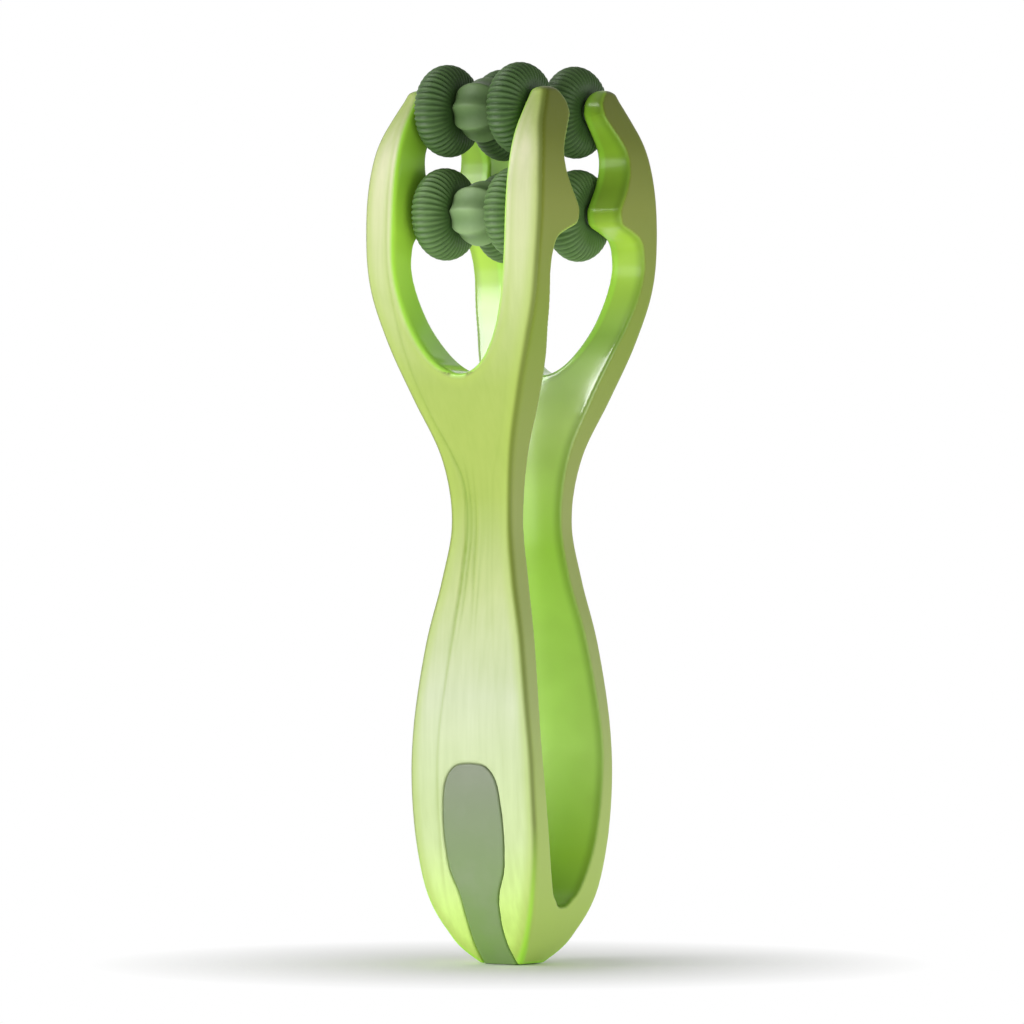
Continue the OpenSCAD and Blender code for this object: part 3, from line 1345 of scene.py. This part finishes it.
    def lathe(self, node: str, profile: Points, body: str, slot: str,
              finish: bpy.types.Material) -> bpy.types.Object:
        """A turned piece from (place along the axle, radius) points.

        Args:
            node: The CAD node that it stands for.
            profile: The closed section, in millimetres.
            body: The body that it rides on.
            slot: A name for its kind, handed on to finished.
            finish: Its material.

        Returns:
            The piece.
        """
        middle, _ = self.size_of(node)
        around = np.linspace(0, 2 * math.pi, self.lathe_steps, endpoint=False)[None, :]
        section = np.array(profile)
        points = self.turned(section[:, :1], section[:, 1:], around, middle)
        piece = mesh_piece(f"turned_{node}", points, wrapped_faces(len(section), self.lathe_steps))
        return self.finished(piece, node, body, slot, finish)

    def hub(self, node: str, body: str, axle: str) -> bpy.types.Object:
        """A hub bush with chamfered ends and a shallow groove in the middle.

        Args:
            node: The CAD node that it stands for.
            body: The body that it rides on.
            axle: The axle's node that it turns on.

        Returns:
            The piece.
        """
        _, size = self.size_of(node)
        half, out = size[0] / 2, size[2] / 2
        bore = self.size_of(axle)[1][2] / 2 + self.hub_play
        chamfer, lip = self.hub_chamfer, self.bore_chamfer
        brink, bottom, sunk = self.hub_groove
        section = (
            (-half, bore + lip), (-half, out - chamfer), (-half + chamfer, out),
            (-brink, out), (-bottom, out - sunk), (bottom, out - sunk), (brink, out),
            (half - chamfer, out), (half, out - chamfer), (half, bore + lip),
            (half - lip, bore), (-half + lip, bore),
        )
        return self.lathe(node, section, body, "hub", self.hub_finish)

    def axle(self, node: str, body: str) -> bpy.types.Object:
        """An axle with chamfered ends.

        Args:
            node: The CAD node that it stands for.
            body: The body that it rides on.

        Returns:
            The piece.
        """
        _, size = self.size_of(node)
        half, out = size[0] / 2, size[2] / 2
        chamfer, core = self.axle_chamfer, 0.01
        section = (
            (-half, core), (-half, out - chamfer), (-half + chamfer, out), (0.0, out),
            (half - chamfer, out), (half, out - chamfer), (half, core),
        )
        return self.lathe(node, section, body, "axle", self.axle_finish)

    @staticmethod
    def finished(piece: bpy.types.Object, node: str, body: str, slot: str,
                 finish: bpy.types.Material) -> bpy.types.Object:
        """Dresses a piece and puts it on its body.

        Args:
            piece: The piece.
            node: The CAD node that it stands for.
            body: The body that it rides on.
            slot: Not used.
            finish: Its material.

        Returns:
            The piece.
        """
        piece.data.materials.append(finish)
        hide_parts(node)
        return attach(piece, body)

    def build(self, arm: Arm, level: Level) -> None:
        """Makes one axle and its three rollers.

        Args:
            arm: The arm that holds the axle.
            level: Which of its axles it is.
        """
        stem = f"{arm.value}_{level.value}"
        self.axle(f"{stem}_axle", f"{arm.value}_arm")
        for side in Side:
            name = f"{stem}_{side.value}"
            self.ring(f"{name}_ring", f"{name}_hub", f"{name}_roller", level)
            self.hub(f"{name}_hub", f"{name}_roller", f"{stem}_axle")
        self.ball(f"{stem}_ball", f"{stem}_ball_hub", f"{stem}_ball_roller", arm.sign, level)
        self.hub(f"{stem}_ball_hub", f"{stem}_ball_roller", f"{stem}_axle")


# ---------------------------------------------------------------- the studio


@dataclass(frozen=True)
class Lamp:
    """A square area light: where it stands round the object in degrees, and its sizes in metres."""

    name: str
    azimuth: float
    height: float
    away: float
    size: float
    power: float
    gleam_only: bool = False


@dataclass
class Studio:
    """A pale floor, a white surround that is dimmer on one side, soft lights and the camera."""

    lamps: tuple[Lamp, ...] = (
        Lamp("key", -24, height=0.02, away=1.1, size=0.64, power=7.6),
        Lamp("gleam", -38, height=0.75, away=1.1, size=0.56, power=10.0, gleam_only=True),
        Lamp("window", -40, height=0.5, away=1.1, size=0.3, power=1.6),
        Lamp("low_side", 70, height=0.02, away=0.3, size=0.16, power=0.3),
        Lamp("low_front", -10, height=0.015, away=0.3, size=0.14, power=0.22),
        Lamp("rim_right", 130, height=0.12, away=1.0, size=0.4, power=1.6),
    )

    azimuth: float = 35.0
    distance: float = 1.425
    aim_height: float = 0.0858
    lens: float = 263.7
    bright: float = 1.0
    dim: float = 0.28
    floor_start: float = 0.02
    floor_fade: float = 0.06
    floor_radius: float = 4.0

    def camera(self) -> None:
        """Makes the level camera that looks at the middle of the object."""
        turn = math.radians(self.azimuth)
        away = Vector((math.sin(turn), -math.cos(turn), 0)) * self.distance
        data = bpy.data.cameras.new("camera")
        data.lens = self.lens
        data.sensor_width = 36.0
        camera = bpy.data.objects.new("camera", data)
        camera.location = away + Vector((0, 0, self.aim_height))
        camera.rotation_euler = (-away).to_track_quat("-Z", "Y").to_euler()
        bpy.context.scene.collection.objects.link(camera)
        bpy.context.scene.camera = camera

    def surround(self) -> None:
        """Makes a world that is white on the left and behind, and dimmer on the right."""
        world = bpy.data.worlds.new("surround")
        bpy.context.scene.world = world
        world.use_nodes = True
        graph = Graph(world.node_tree)
        direction = graph.node("ShaderNodeTexCoord").outputs["Generated"]
        bright_side = Vector((-0.8, 0.5, -0.6)).normalized()
        ways = {0: direction, 1: bright_side}
        along = graph.node("ShaderNodeVectorMath", {"operation": "DOT_PRODUCT"}, ways)
        strength = graph.node("ShaderNodeMapRange", {"interpolation_type": "SMOOTHSTEP"}, {
            "Value": along.outputs["Value"], "From Min": -0.6, "From Max": 0.7,
            "To Min": self.dim, "To Max": self.bright,
        }).outputs["Result"]
        seen = Wire(graph, graph.node("ShaderNodeLightPath").outputs["Is Camera Ray"])
        strength = graph.math("MAXIMUM", Wire(graph, strength), seen)
        white = (1.0, 1.0, 1.0, 1.0)
        light = graph.node("ShaderNodeBackground", None, {"Color": white, "Strength": strength})
        graph.node("ShaderNodeOutputWorld", None, {"Surface": light.outputs[0]})

    def light(self, lamp: Lamp) -> None:
        """Makes one area light that faces the object.

        Args:
            lamp: What it is like and where it stands.
        """
        turn = math.radians(lamp.azimuth)
        place = Vector((math.sin(turn) * lamp.away, -math.cos(turn) * lamp.away, lamp.height))
        data = bpy.data.lights.new(lamp.name, "AREA")
        data.size = lamp.size
        data.energy = lamp.power
        light = bpy.data.objects.new(lamp.name, data)
        light.location = place
        light.visible_camera = False
        light.visible_diffuse = not lamp.gleam_only
        inward = Vector((0, 0, self.aim_height)) - place
        light.rotation_euler = inward.to_track_quat("-Z", "Y").to_euler()
        bpy.context.scene.collection.objects.link(light)

    def floor(self) -> None:
        """Makes the pale floor, which fades into the surround away from the object."""
        graph = Paint("floor paint")
        far = graph.node("ShaderNodeVectorMath", {"operation": "LENGTH"}, {0: graph.place()})
        away = ((Wire(graph, far.outputs["Value"]) - self.floor_start) / self.floor_fade).clamped()
        graph.set(Roughness=0.9, Base_Color=(0.95, 0.95, 0.95, 1.0))
        glow = graph.node("ShaderNodeEmission", None, {"Color": (1.0, 1.0, 1.0, 1.0)})
        layers = {0: away, 1: graph.shader.outputs[0], 2: glow.outputs[0]}
        mixed = graph.node("ShaderNodeMixShader", None, layers)
        graph.feed(graph.output.inputs["Surface"], mixed.outputs[0])
        turns = np.linspace(0, 2 * math.pi, 48, endpoint=False)
        reach = self.floor_radius
        ring = [(reach * math.cos(turn), reach * math.sin(turn), 0.0) for turn in turns]
        mesh = bpy.data.meshes.new("studio_floor")
        mesh.from_pydata(ring, [], [list(range(len(ring)))])
        mesh.materials.append(graph.material)
        floor = bpy.data.objects.new("studio_floor", mesh)
        bpy.context.scene.collection.objects.link(floor)

    def build(self) -> None:
        """Sets up the whole studio."""
        bpy.context.scene.view_settings.view_transform = "Standard"
        self.camera()
        self.surround()
        self.floor()
        for lamp in self.lamps:
            self.light(lamp)


def main() -> None:
    """Builds everything in order and reports each piece."""
    logging.basicConfig(level=logging.INFO, format="%(message)s")
    Studio().build()
    log.info("studio ready")
    tong = Tong()
    pieces = tong.build()
    tong.dress(pieces)
    for piece in pieces:
        log.info("%s: %d faces", piece.name, len(piece.data.polygons))
    strip = GripStrip().build(tong)
    log.info("%s: %d faces", strip.name, len(strip.data.polygons))
    kit = RollerKit()
    for arm in Arm:
        for level in Level:
            kit.build(arm, level)
            log.info("%s %s axle and its rollers", arm.value, level.value)


if __name__ == "__main__":
    main()
